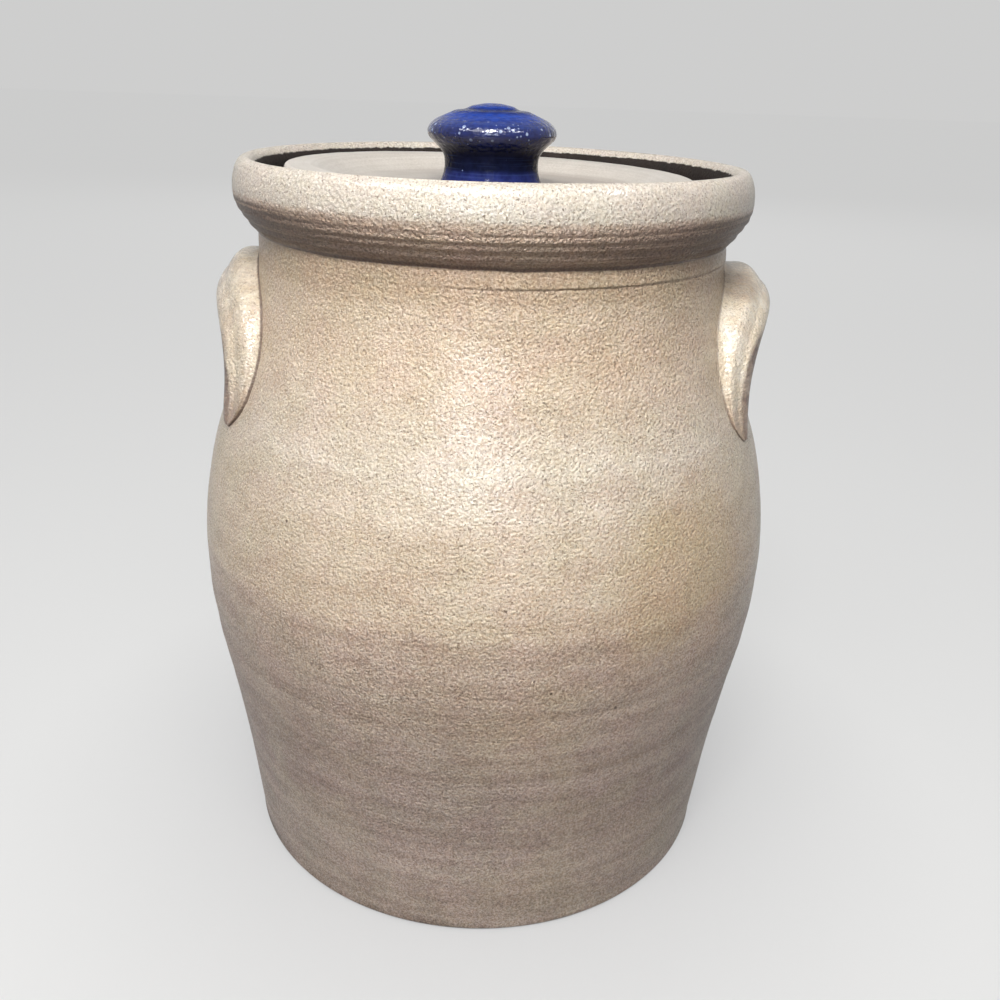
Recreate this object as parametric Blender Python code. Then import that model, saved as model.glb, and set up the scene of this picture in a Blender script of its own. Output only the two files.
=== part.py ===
"""Salt glaze stoneware crock with two ear handles and a lid that lifts off its seat.

Metres, +Z up. The origin is the middle of the flat base, and the handles are on +X and -X.
"""

import math

import bmesh
import bpy
import numpy as np

# Jar wall, outside
BASE_RADIUS = 0.0973
BASE_EDGE_ROUND = 0.0016
BELLY_RADIUS = 0.1122
BELLY_HEIGHT = 0.1235
NECK_RADIUS = 0.0857
NECK_HEIGHT = 0.2370

# Rim, outside: rises over the neck and steps out from it
CREASE_RISE = 0.0094
RIM_SLOPE_RISE = 0.0186
RIM_SLOPE_STEP = 0.0069
RIM_WIDEST_RISE = 0.0236
RIM_STEP = 0.0080
CREST_RISE = 0.0344
CREST_STEP = 0.0034

# Seat for the lid, inside the rim: drops from the crest and steps in from it
SEAT_DROP = 0.0116
SEAT_OUTER_STEP = 0.0119
MOUTH_STEP = 0.0186
GALLERY_DROP = 0.0066
GALLERY_STEP = 0.0047
SEAT_FLANGE_THICKNESS = 0.0056
SEAT_FLANGE_ROUND = 0.0018
UNDER_SEAT_DROP = 0.0130

# Jar wall, inside
WALL = 0.0074
FLOOR = 0.0090
FLOOR_CORNER = 0.0140

# Lid
LID_EDGE_GAP = 0.0029
LID_EDGE_ROUND = 0.0018
LID_MARGIN = 0.0085
LID_EDGE_THICKNESS = 0.0077
LID_DISH_DEPTH = 0.0055
LID_DISH_RUN = 0.0150
LID_PLATE = 0.0066
LID_SIDE_CLEARANCE = 0.0022
LID_SHIFT_SHARE = 0.6

# Knob
KNOB_RADIUS = 0.0234
KNOB_HEIGHT = 0.0278
KNOB_WAIST_RADIUS = 0.0170
KNOB_FOOT_RADIUS = 0.0196
KNOB_BUTTON_RADIUS = 0.0095
KNOB_GROOVE_DEPTH = 0.0006

# Ear handles: an arch of clay that stands out from the shoulder like a bracket
HANDLE_ARCH_DROP = 0.0440
HANDLE_HALF_WIDTH = 0.0437
HANDLE_RISE = 0.0388
LEFT_HANDLE_REACH = 0.0150
RIGHT_HANDLE_REACH = 0.0178
HANDLE_ROOT_THICKNESS = 0.0106
HANDLE_LIP_THICKNESS = 0.0054
LEFT_HANDLE_DROOP = 0.0068
RIGHT_HANDLE_DROOP = 0.0048
HANDLE_TIP_THICKNESS = 0.0024
HANDLE_TIP_REACH = 0.0012

# Clearance between pieces that touch on the real crock
SEAM = 0.0003

# Sizes that follow from the ones above
CREASE_HEIGHT = NECK_HEIGHT + CREASE_RISE
RIM_SLOPE_RADIUS = NECK_RADIUS + RIM_SLOPE_STEP
RIM_SLOPE_HEIGHT = NECK_HEIGHT + RIM_SLOPE_RISE
RIM_RADIUS = NECK_RADIUS + RIM_STEP
RIM_WIDEST_HEIGHT = NECK_HEIGHT + RIM_WIDEST_RISE
CREST_RADIUS = NECK_RADIUS + CREST_STEP
CREST_HEIGHT = NECK_HEIGHT + CREST_RISE
SEAT_HEIGHT = CREST_HEIGHT - SEAT_DROP
SEAT_OUTER_RADIUS = CREST_RADIUS - SEAT_OUTER_STEP
MOUTH_RADIUS = CREST_RADIUS - MOUTH_STEP
GALLERY_RADIUS = CREST_RADIUS - GALLERY_STEP
GALLERY_HEIGHT = CREST_HEIGHT - GALLERY_DROP
LID_RADIUS = SEAT_OUTER_RADIUS - LID_EDGE_GAP
HANDLE_ARCH_HEIGHT = NECK_HEIGHT - HANDLE_ARCH_DROP

# Shapes written as shares of the sizes above
LOWER_WALL_HEIGHT_SHARES = (0.0, 0.18, 0.36, 0.55, 0.73, 0.88)
LOWER_WALL_RADIUS_SHARES = (0.0, 0.155, 0.325, 0.550, 0.800, 0.958)
UPPER_WALL_HEIGHT_SHARES = (0.0, 0.10, 0.20, 0.30, 0.40, 0.50, 0.60, 0.70, 0.80, 0.90, 1.0)
UPPER_WALL_RADIUS_SHARES = (1.0, 0.990, 0.947, 0.873, 0.767, 0.625, 0.460, 0.300, 0.163, 0.062, 0.010)
KNOB_FOOT_HEIGHT_SHARES = (0.0, 0.04, 0.09, 0.16, 0.26)
KNOB_FOOT_FLARE_SHARES = (1.0, 0.62, 0.34, 0.12, 0.0)
KNOB_NECK_HEIGHT_SHARES = (0.36, 0.45, 0.53, 0.60, 0.65)
KNOB_NECK_FLARE_SHARES = (0.06, 0.30, 0.66, 0.93, 1.0)
KNOB_CROWN_HEIGHT_SHARES = (0.70, 0.76, 0.81, 0.86, 0.895)
KNOB_CROWN_RADIUS_SHARES = (0.985, 0.93, 0.84, 0.68, 0.52)
KNOB_BUTTON_HEIGHT_SHARES = (0.935, 0.975, 1.0)
KNOB_BUTTON_RADIUS_SHARES = (0.78, 0.45, 0.0)
HANDLE_TIP_LENGTH_SHARE = 0.07
HANDLE_LIP_TURN_SHARES = (0.25, 0.5, 0.75)

# Counts and angles
JAR_SEGMENTS = 64
LID_SEGMENTS = 56
KNOB_SEGMENTS = 40
WALL_RINGS = 12
HANDLE_STATIONS = 26
HANDLE_FACE_POINTS = 5
HANDLE_TIP_ANGLE = math.radians(-18)
LEFT_HANDLE_FULLNESS = 0.75
RIGHT_HANDLE_FULLNESS = 1.0


def clear_scene():
    for item in list(bpy.data.objects):
        bpy.data.objects.remove(item, do_unlink=True)


def make_material(name, colour, roughness, coat):
    material = bpy.data.materials.new(name)
    material.use_nodes = True
    shader = material.node_tree.nodes["Principled BSDF"]
    shader.inputs["Base Color"].default_value = (*colour, 1.0)
    shader.inputs["Roughness"].default_value = roughness
    shader.inputs["Metallic"].default_value = 0.0
    shader.inputs["Coat Weight"].default_value = coat
    return material


def natural_spline(places, values):
    """Smooth curve through the given points, as a function of the place."""
    x = np.array(places)
    y = np.array(values)
    step = np.diff(x)
    count = len(x)
    system = np.eye(count)
    right = np.zeros(count)
    for i in range(1, count - 1):
        system[i, i - 1] = step[i - 1]
        system[i, i] = 2 * (step[i - 1] + step[i])
        system[i, i + 1] = step[i]
        right[i] = 6 * ((y[i + 1] - y[i]) / step[i] - (y[i] - y[i - 1]) / step[i - 1])
    bend = np.linalg.solve(system, right)

    def curve(place):
        i = int(np.clip(np.searchsorted(x, place) - 1, 0, count - 2))
        a = (x[i + 1] - place) / step[i]
        b = (place - x[i]) / step[i]
        sag = ((a**3 - a) * bend[i] + (b**3 - b) * bend[i + 1]) * step[i] ** 2 / 6
        return float(a * y[i] + b * y[i + 1] + sag)

    return curve


def wall_knots():
    """Heights and radii that the outside of the jar passes through, base to crease."""
    swell = BELLY_RADIUS - BASE_RADIUS
    heights = [BELLY_HEIGHT * share for share in LOWER_WALL_HEIGHT_SHARES]
    radii = [BASE_RADIUS + swell * share for share in LOWER_WALL_RADIUS_SHARES]
    rise = NECK_HEIGHT - BELLY_HEIGHT
    draw_in = BELLY_RADIUS - NECK_RADIUS
    heights += [BELLY_HEIGHT + rise * share for share in UPPER_WALL_HEIGHT_SHARES]
    radii += [NECK_RADIUS + draw_in * share for share in UPPER_WALL_RADIUS_SHARES]
    heights.append(CREASE_HEIGHT)
    radii.append(NECK_RADIUS)
    return heights, radii


wall_radius = natural_spline(*wall_knots())


def quarter_arc(start, end, corner, steps):
    """Points after start up to end on the quarter ellipse that turns round a corner."""
    points = []
    for step in range(1, steps + 1):
        angle = math.pi / 2 * step / steps
        along_end = 1 - math.cos(angle)
        along_start = 1 - math.sin(angle)
        radius = corner[0] + (start[0] - corner[0]) * along_start + (end[0] - corner[0]) * along_end
        height = corner[1] + (start[1] - corner[1]) * along_start + (end[1] - corner[1]) * along_end
        points.append((radius, height))
    return points


def spread(first, last, count):
    return [first + (last - first) * i / count for i in range(1, count + 1)]


def turn(name, outline, segments, material):
    """Solid of revolution; the outline runs from the axis, up the outside and back to the axis."""
    shape = bmesh.new()
    chain = [shape.verts.new((radius, 0.0, height)) for radius, height in outline]
    edges = [shape.edges.new(pair) for pair in zip(chain, chain[1:])]
    bmesh.ops.spin(
        shape,
        geom=chain + edges,
        cent=(0.0, 0.0, 0.0),
        axis=(0.0, 0.0, 1.0),
        angle=2 * math.pi,
        steps=segments,
        use_merge=True,
    )
    bmesh.ops.remove_doubles(shape, verts=shape.verts, dist=SEAM / 10)
    bmesh.ops.recalc_face_normals(shape, faces=shape.faces)
    return finish_object(name, shape, material)


def finish_object(name, shape, material):
    mesh = bpy.data.meshes.new(name)
    shape.to_mesh(mesh)
    shape.free()
    mesh.materials.append(material)
    mesh.shade_smooth()
    mesh.set_sharp_from_angle(angle=math.radians(35))
    piece = bpy.data.objects.new(name, mesh)
    bpy.context.collection.objects.link(piece)
    return piece


def jar_outline():
    outline = [(0.0, 0.0), (BASE_RADIUS - BASE_EDGE_ROUND, 0.0)]
    edge_top = (wall_radius(BASE_EDGE_ROUND), BASE_EDGE_ROUND)
    outline += quarter_arc(outline[-1], edge_top, (BASE_RADIUS, 0.0), 3)
    for height in spread(BASE_EDGE_ROUND, BELLY_HEIGHT, WALL_RINGS // 2):
        outline.append((wall_radius(height), height))
    for height in spread(BELLY_HEIGHT, CREASE_HEIGHT, WALL_RINGS):
        outline.append((wall_radius(height), height))

    slope_top = (RIM_SLOPE_RADIUS, RIM_SLOPE_HEIGHT)
    widest = (RIM_RADIUS, RIM_WIDEST_HEIGHT)
    crest = (CREST_RADIUS, CREST_HEIGHT)
    gallery = (GALLERY_RADIUS, GALLERY_HEIGHT)
    outline.append(slope_top)
    outline.append(widest)
    outline += quarter_arc(widest, crest, (RIM_RADIUS, CREST_HEIGHT), 4)
    outline += quarter_arc(crest, gallery, (GALLERY_RADIUS, CREST_HEIGHT), 4)

    seat_outer = (SEAT_OUTER_RADIUS, SEAT_HEIGHT)
    outline += quarter_arc(gallery, seat_outer, (GALLERY_RADIUS, SEAT_HEIGHT), 3)
    outline.append((MOUTH_RADIUS + SEAT_FLANGE_ROUND, SEAT_HEIGHT))
    flange_top = (MOUTH_RADIUS, SEAT_HEIGHT - SEAT_FLANGE_ROUND)
    outline += quarter_arc(outline[-1], flange_top, (MOUTH_RADIUS, SEAT_HEIGHT), 2)
    outline.append((MOUTH_RADIUS, SEAT_HEIGHT - SEAT_FLANGE_THICKNESS))

    under_seat = SEAT_HEIGHT - UNDER_SEAT_DROP
    corner_top = FLOOR + FLOOR_CORNER
    outline.append((wall_radius(under_seat) - WALL, under_seat))
    for height in spread(under_seat, BELLY_HEIGHT, WALL_RINGS * 3 // 4):
        outline.append((wall_radius(height) - WALL, height))
    for height in spread(BELLY_HEIGHT, corner_top, WALL_RINGS * 3 // 8):
        outline.append((wall_radius(height) - WALL, height))
    corner = (wall_radius(FLOOR) - WALL, FLOOR)
    outline += quarter_arc(outline[-1], (corner[0] - FLOOR_CORNER, FLOOR), corner, 4)
    outline.append((0.0, FLOOR))
    return outline


def lid_heights():
    """Underside of the lid's edge, top of its edge and floor of its dish."""
    under = SEAT_HEIGHT + SEAM
    top = under + LID_EDGE_THICKNESS
    return under, top, top - LID_DISH_DEPTH


def lid_outline():
    under, top, dish = lid_heights()
    plate_bottom = dish - LID_PLATE
    ring_radius = MOUTH_RADIUS - LID_SIDE_CLEARANCE
    outline = [(0.0, plate_bottom), (ring_radius - LID_EDGE_ROUND, plate_bottom)]
    ring_side = (ring_radius, plate_bottom + LID_EDGE_ROUND)
    outline += quarter_arc(outline[-1], ring_side, (ring_radius, plate_bottom), 3)
    outline.append((ring_radius, under))
    outline.append((LID_RADIUS - LID_EDGE_ROUND, under))
    lower_side = (LID_RADIUS, under + LID_EDGE_ROUND)
    outline += quarter_arc(outline[-1], lower_side, (LID_RADIUS, under), 3)
    outline.append((LID_RADIUS, top - LID_EDGE_ROUND))
    rim_top = (LID_RADIUS - LID_EDGE_ROUND, top)
    outline += quarter_arc(outline[-1], rim_top, (LID_RADIUS, top), 3)

    dish_start = LID_RADIUS - LID_MARGIN
    outline.append((dish_start, top))
    steps = 5
    for step in range(1, steps + 1):
        share = step / steps
        drop = LID_DISH_DEPTH * (1 - math.cos(math.pi * share)) / 2
        outline.append((dish_start - LID_DISH_RUN * share, top - drop))
    outline.append((0.0, dish))
    return outline


def knob_outline():
    foot = lid_heights()[2] + SEAM
    flare = KNOB_FOOT_RADIUS - KNOB_WAIST_RADIUS
    swell = KNOB_RADIUS - KNOB_WAIST_RADIUS
    outline = [(0.0, foot)]
    for height, share in zip(KNOB_FOOT_HEIGHT_SHARES, KNOB_FOOT_FLARE_SHARES):
        outline.append((KNOB_WAIST_RADIUS + flare * share, foot + KNOB_HEIGHT * height))
    for height, share in zip(KNOB_NECK_HEIGHT_SHARES, KNOB_NECK_FLARE_SHARES):
        outline.append((KNOB_WAIST_RADIUS + swell * share, foot + KNOB_HEIGHT * height))
    for height, share in zip(KNOB_CROWN_HEIGHT_SHARES, KNOB_CROWN_RADIUS_SHARES):
        outline.append((KNOB_RADIUS * share, foot + KNOB_HEIGHT * height))
    crown_top = outline[-1][1]
    outline.append((KNOB_BUTTON_RADIUS, crown_top - KNOB_GROOVE_DEPTH))
    for height, share in zip(KNOB_BUTTON_HEIGHT_SHARES, KNOB_BUTTON_RADIUS_SHARES):
        outline.append((KNOB_BUTTON_RADIUS * share, foot + KNOB_HEIGHT * height))
    return outline


def wall_point(y, z):
    """Point on the jar's outside, one seam clear of it, on the +X side."""
    radius = wall_radius(z) + SEAM
    return math.sqrt(radius**2 - y**2), y, z


def handle_section(share, full_reach, full_droop, fullness):
    """Closed section of the right handle at a share of the way from tip to tip."""
    angle = HANDLE_TIP_ANGLE + (math.pi - 2 * HANDLE_TIP_ANGLE) * share
    across_y = -math.cos(angle)
    across_z = math.sin(angle)
    foot_y = HANDLE_HALF_WIDTH * across_y
    foot_z = HANDLE_ARCH_HEIGHT + HANDLE_RISE * across_z

    reach = HANDLE_TIP_REACH + (full_reach - HANDLE_TIP_REACH) * math.sin(math.pi * share) ** fullness
    droop = full_droop * max(0.0, across_z) * reach / full_reach
    tip_share = min(1.0, min(share, 1 - share) / HANDLE_TIP_LENGTH_SHARE)
    thinning = HANDLE_TIP_THICKNESS / HANDLE_ROOT_THICKNESS
    thinning += (1 - thinning) * math.sin(math.pi / 2 * tip_share)
    root = HANDLE_ROOT_THICKNESS * thinning / 2
    lip = HANDLE_LIP_THICKNESS * thinning / 2
    lip_start = max(0.0, 1 - lip / reach)

    def place(out_share, half_share):
        half = root + (lip - root) * min(1.0, out_share / lip_start)
        shift = half_share * half - droop * out_share**3
        x, y, z = wall_point(foot_y + across_y * shift, foot_z + across_z * shift)
        return x + reach * out_share, y, z

    outs = [lip_start * i / HANDLE_FACE_POINTS for i in range(HANDLE_FACE_POINTS + 1)]
    section = [place(out, 1.0) for out in outs]
    for turn_share in HANDLE_LIP_TURN_SHARES:
        swing = math.pi * turn_share
        section.append(place(lip_start + (1 - lip_start) * math.sin(swing), math.cos(swing)))
    section += [place(out, -1.0) for out in reversed(outs)]
    section.append(place(0.0, 0.0))
    return section


def make_handle(name, side, reach, droop, fullness, material):
    """Ear handle lofted from section to section, from its front tip over to its back tip."""
    shape = bmesh.new()
    rings = []
    for station in range(HANDLE_STATIONS + 1):
        section = handle_section(station / HANDLE_STATIONS, reach, droop, fullness)
        rings.append([shape.verts.new((side * x, y, z)) for x, y, z in section])
    for low, high in zip(rings, rings[1:]):
        for i in range(len(low)):
            j = (i + 1) % len(low)
            shape.faces.new((low[i], low[j], high[j], high[i]))
    shape.faces.new(rings[0])
    shape.faces.new(rings[-1])
    bmesh.ops.recalc_face_normals(shape, faces=shape.faces)
    return finish_object(name, shape, material)


def build():
    clear_scene()
    salt_glaze = make_material("salt_glaze", (0.52, 0.43, 0.33), 0.45, 0.2)
    left_glaze = make_material("left_handle_glaze", (0.55, 0.46, 0.36), 0.42, 0.2)
    right_glaze = make_material("right_handle_glaze", (0.55, 0.46, 0.36), 0.42, 0.2)
    lid_glaze = make_material("lid_glaze", (0.58, 0.52, 0.44), 0.55, 0.1)
    cobalt = make_material("cobalt_glaze", (0.02, 0.04, 0.22), 0.12, 0.6)

    turn("crock_body", jar_outline(), JAR_SEGMENTS, salt_glaze)
    left_shape = (LEFT_HANDLE_REACH, LEFT_HANDLE_DROOP, LEFT_HANDLE_FULLNESS)
    right_shape = (RIGHT_HANDLE_REACH, RIGHT_HANDLE_DROOP, RIGHT_HANDLE_FULLNESS)
    make_handle("left_handle", -1.0, *left_shape, left_glaze)
    make_handle("right_handle", 1.0, *right_shape, right_glaze)

    lid = turn("lid", lid_outline(), LID_SEGMENTS, lid_glaze)
    knob = turn("lid_knob", knob_outline(), KNOB_SEGMENTS, cobalt)
    knob.parent = lid
    lid.location.x = -LID_SIDE_CLEARANCE * LID_SHIFT_SHARE


build()
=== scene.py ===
"""Salt glaze crock dressed for the photograph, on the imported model's frame.

Metres, +Z up. Each CAD piece is replaced by a finer skin of the same shape, which carries the
throwing rings, the step on the neck, the lines under the rim and the turned lines of the knob as
real relief. The orange peel and the glaze colours come from node materials.
"""

import math
from collections import namedtuple

import bpy
import numpy as np
from mathutils import Matrix, Vector, noise


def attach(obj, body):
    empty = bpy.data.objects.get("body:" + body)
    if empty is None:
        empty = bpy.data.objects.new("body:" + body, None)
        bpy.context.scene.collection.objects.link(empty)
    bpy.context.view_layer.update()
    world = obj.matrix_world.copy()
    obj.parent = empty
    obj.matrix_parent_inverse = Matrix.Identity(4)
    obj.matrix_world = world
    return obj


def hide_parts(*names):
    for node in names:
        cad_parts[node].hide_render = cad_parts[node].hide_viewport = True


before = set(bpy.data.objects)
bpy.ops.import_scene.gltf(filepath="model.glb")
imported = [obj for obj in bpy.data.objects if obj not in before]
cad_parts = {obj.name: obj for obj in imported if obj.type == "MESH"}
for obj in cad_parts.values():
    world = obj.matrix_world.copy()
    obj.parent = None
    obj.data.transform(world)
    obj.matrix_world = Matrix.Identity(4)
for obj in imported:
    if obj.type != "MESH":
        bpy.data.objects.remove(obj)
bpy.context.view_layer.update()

X = 0
Z = 2
MM_PER_METRE = 1000

# Jar wall, outside
BASE_RADIUS = 0.0973
BASE_EDGE_ROUND = 0.0016
BELLY_RADIUS = 0.1122
BELLY_HEIGHT = 0.1235
NECK_RADIUS = 0.0857
NECK_HEIGHT = 0.2370
CREASE_HEIGHT = 0.2464
CREASE_RADIUS = 0.0859

# Fine step on the neck, and the groove under it
NECK_STEP_HEIGHT = 0.2405
NECK_STEP_DEPTH = 0.00034
NECK_STEP_RISE = 0.0004
NECK_STEP_FLAT = 0.0008
NECK_GROOVE_HEIGHT = NECK_STEP_HEIGHT - 0.0002
NECK_GROOVE_WIDTH = 0.00035

# Rim and the seat inside it
RIM_RADIUS = 0.0937
RIM_WIDEST_HEIGHT = 0.2606
CREST_RADIUS = 0.0891
CREST_HEIGHT = 0.2714
SEAT_HEIGHT = 0.2598
SEAT_OUTER_RADIUS = 0.0772
MOUTH_RADIUS = 0.0705
GALLERY_RADIUS = 0.0844
GALLERY_HEIGHT = 0.2648
SEAT_FLANGE_THICKNESS = 0.0056
SEAT_FLANGE_ROUND = 0.0018
UNDER_SEAT_DROP = 0.0130

# Jar wall, inside
WALL = 0.0074
FLOOR = 0.0090
FLOOR_CORNER = 0.0140

# Lid
SEAM = 0.0003
LID_RADIUS = 0.0743
LID_EDGE_ROUND = 0.0018
LID_MARGIN = 0.0085
LID_EDGE_THICKNESS = 0.0077
LID_DISH_DEPTH = 0.0055
LID_DISH_RUN = 0.0150
LID_PLATE = 0.0066
LID_RING_RADIUS = 0.0683
LID_SHIFT = -0.00132
LID_UNDER_HEIGHT = SEAT_HEIGHT + SEAM
LID_TOP_HEIGHT = LID_UNDER_HEIGHT + LID_EDGE_THICKNESS
LID_DISH_HEIGHT = LID_TOP_HEIGHT - LID_DISH_DEPTH

# Tilt of the lid's top, and the heights over the seat between which it sets in
LID_TILT_LEFT = 0.0012
LID_TILT_BACK = 0.0004
LID_TILT_START = 0.0012
LID_TILT_FULL = 0.0026

# Knob
KNOB_RADIUS = 0.0234
KNOB_HEIGHT = 0.0278
KNOB_WAIST_RADIUS = 0.0170
KNOB_FOOT_RADIUS = 0.0196
KNOB_BUTTON_RADIUS = 0.0095

# Ear handles
HANDLE_ARCH_HEIGHT = 0.1930
HANDLE_HALF_WIDTH = 0.0437
HANDLE_RISE = 0.0388
HANDLE_ROOT_THICKNESS = 0.0106
HANDLE_LIP_THICKNESS = 0.0054
HANDLE_TIP_THICKNESS = 0.0024
HANDLE_TIP_REACH = 0.0012
HANDLE_TIP_ANGLE = math.radians(-18)
HANDLE_TIP_LENGTH_SHARE = 0.07
HANDLE_SINK = 0.0012
HANDLE_CROWN = 0.0021
HANDLE_EDGE_CUT = 0.0003
HANDLE_SMEAR = 0.0005
HANDLE_SMEAR_RUN = 0.0012
HANDLE_WAVE = 0.00022

# How finely the skins are cut
SMOOTH_ANGLE = math.radians(50)
JAR_SEGMENTS = 240
LID_SEGMENTS = 192
KNOB_SEGMENTS = 128
WALL_ROW = 0.0013
FINE_ROW = 0.0003
FINE_ROWS_START = 0.2330
WALL_ROWS_END_UNDER_CREASE = 0.0006
SLOPE_ROWS_START_UNDER_CREASE = 0.0002
INSIDE_ROW = 0.0045
BASE_ROW_RADII = (0.0, 0.045, 0.085)
FLOOR_ROW_RADII = (0.050, 0.025, 0.0)
LID_PLATE_ROW_RADII = (0.0, 0.02, 0.045)
LID_EDGE_ROW = 0.0010
LID_MARGIN_ROW = 0.0008
LID_DISH_ROW_SHARE = 0.05
LID_FLAT_ROW = 0.0011
LID_LAST_ROW_RADIUS = 0.002
KNOB_ROW = 0.0004
KNOB_FOOT_ROW_SHARES = (0.0, 0.5, 0.96)
HANDLE_STATIONS = 110
HANDLE_FACE_POINTS = 22
HANDLE_LIP_POINTS = 14

# Shapes written as shares of the sizes above, as in the CAD source
LOWER_WALL_HEIGHT_SHARES = (0.0, 0.18, 0.36, 0.55, 0.73, 0.88)
LOWER_WALL_RADIUS_SHARES = (0.0, 0.155, 0.325, 0.550, 0.800, 0.958)
UPPER_WALL_HEIGHT_SHARES = (0.0, 0.10, 0.20, 0.30, 0.40, 0.50, 0.60, 0.70, 0.80, 0.90, 1.0)
UPPER_WALL_RADIUS_SHARES = (1.0, 0.990, 0.947, 0.873, 0.767, 0.625, 0.460, 0.300, 0.163, 0.062, 0.010)
RIM_SLOPE_HEIGHTS = (CREASE_HEIGHT, 0.2486, 0.2509, 0.2531, 0.2556, 0.2581, RIM_WIDEST_HEIGHT)
RIM_SLOPE_RADII = (CREASE_RADIUS, 0.0880, 0.0896, 0.0912, 0.0926, 0.0934, RIM_RADIUS)

# Knob: share of its height, then share of the way from the waist's radius to the foot's
KNOB_FLARE_SHARES = ((0.0, 1.0), (0.04, 0.62), (0.09, 0.34), (0.16, 0.12), (0.26, 0.0))
# Knob: share of its height, then share of the way from the waist's radius to the widest
KNOB_SWELL_SHARES = ((0.36, 0.06), (0.45, 0.30), (0.53, 0.66), (0.60, 0.93), (0.65, 1.0))
# Knob: share of its height, then share of the widest radius, or of the button's
KNOB_CROWN_SHARES = ((0.70, 0.985), (0.76, 0.93), (0.81, 0.84), (0.868, 0.68), (0.915, 0.53))
KNOB_BUTTON_SHARES = ((0.930, 1.0), (0.957, 0.84), (0.980, 0.60), (0.995, 0.32), (1.0, 0.08))


# Curves

def natural_spline(places, values):
    """Smooth curve through the given points, as a function of the place."""
    x = np.array(places, dtype=float)
    y = np.array(values, dtype=float)
    step = np.diff(x)
    count = len(x)
    system = np.eye(count)
    right = np.zeros(count)
    for i in range(1, count - 1):
        system[i, i - 1] = step[i - 1]
        system[i, i] = 2 * (step[i - 1] + step[i])
        system[i, i + 1] = step[i]
        right[i] = 6 * ((y[i + 1] - y[i]) / step[i] - (y[i] - y[i - 1]) / step[i - 1])
    bend = np.linalg.solve(system, right)

    def curve(place):
        i = int(np.clip(np.searchsorted(x, place) - 1, 0, count - 2))
        a = (x[i + 1] - place) / step[i]
        b = (place - x[i]) / step[i]
        sag = ((a**3 - a) * bend[i] + (b**3 - b) * bend[i + 1]) * step[i] ** 2 / 6
        return float(a * y[i] + b * y[i + 1] + sag)

    return curve


def wall_knots():
    """Heights and radii that the outside of the jar passes through, base to crease."""
    swell = BELLY_RADIUS - BASE_RADIUS
    heights = [BELLY_HEIGHT * share for share in LOWER_WALL_HEIGHT_SHARES]
    radii = [BASE_RADIUS + swell * share for share in LOWER_WALL_RADIUS_SHARES]
    rise = NECK_HEIGHT - BELLY_HEIGHT
    draw_in = BELLY_RADIUS - NECK_RADIUS
    heights += [BELLY_HEIGHT + rise * share for share in UPPER_WALL_HEIGHT_SHARES]
    radii += [NECK_RADIUS + draw_in * share for share in UPPER_WALL_RADIUS_SHARES]
    heights.append(CREASE_HEIGHT)
    radii.append(NECK_RADIUS)
    return heights, radii


wall_radius = natural_spline(*wall_knots())
slope_radius = natural_spline(RIM_SLOPE_HEIGHTS, RIM_SLOPE_RADII)


def quarter_arc(start, end, corner, steps):
    """Points after start up to end on the quarter ellipse that turns round a corner."""
    points = []
    for step in range(1, steps + 1):
        angle = math.pi / 2 * step / steps
        along_end = 1 - math.cos(angle)
        along_start = 1 - math.sin(angle)
        radius = corner[0] + (start[0] - corner[0]) * along_start + (end[0] - corner[0]) * along_end
        height = corner[1] + (start[1] - corner[1]) * along_start + (end[1] - corner[1]) * along_end
        points.append((radius, height))
    return points


def spread(first, last, step):
    """Even places after first up to last, about a step apart."""
    count = max(1, round(abs(last - first) / step))
    return [first + (last - first) * i / count for i in range(1, count + 1)]


def smooth_path(points, step):
    """Rows along a smooth curve through the given points, about a step apart."""
    places = [0.0]
    for start, end in zip(points, points[1:]):
        places.append(places[-1] + math.dist(start, end))
    radius = natural_spline(places, [point[0] for point in points])
    height = natural_spline(places, [point[1] for point in points])
    return [points[0]] + [(radius(place), height(place)) for place in spread(0.0, places[-1], step)]


def bell(value, middle, width):
    """1 at the middle, falling off on both sides."""
    return math.exp(-(((value - middle) / width) ** 2))


def ramp(value, low, high):
    """Smooth rise from 0 at low to 1 at high."""
    share = min(1.0, max(0.0, (value - low) / (high - low)))
    return share * share * (3 - 2 * share)


def turned_noise(c, s, around, along, shift=0.0):
    """Noise on a turned piece: how fast it changes round the axis, and its place along the axis."""
    return noise.noise(Vector((c * around + shift, s * around, along)))


# Skins

def new_piece(name, points, faces):
    mesh = bpy.data.meshes.new(name)
    mesh.from_pydata(points, [], faces)
    mesh.validate()
    mesh.shade_smooth()
    mesh.set_sharp_from_angle(angle=SMOOTH_ANGLE)
    piece = bpy.data.objects.new(name, mesh)
    bpy.context.collection.objects.link(piece)
    return piece


def mark_points(piece, name, values):
    """Stores one number per vertex, which the piece's material reads."""
    layer = piece.data.attributes.new(name, "FLOAT", "POINT")
    layer.data.foreach_set("value", np.array(values, dtype=np.float32))


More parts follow.
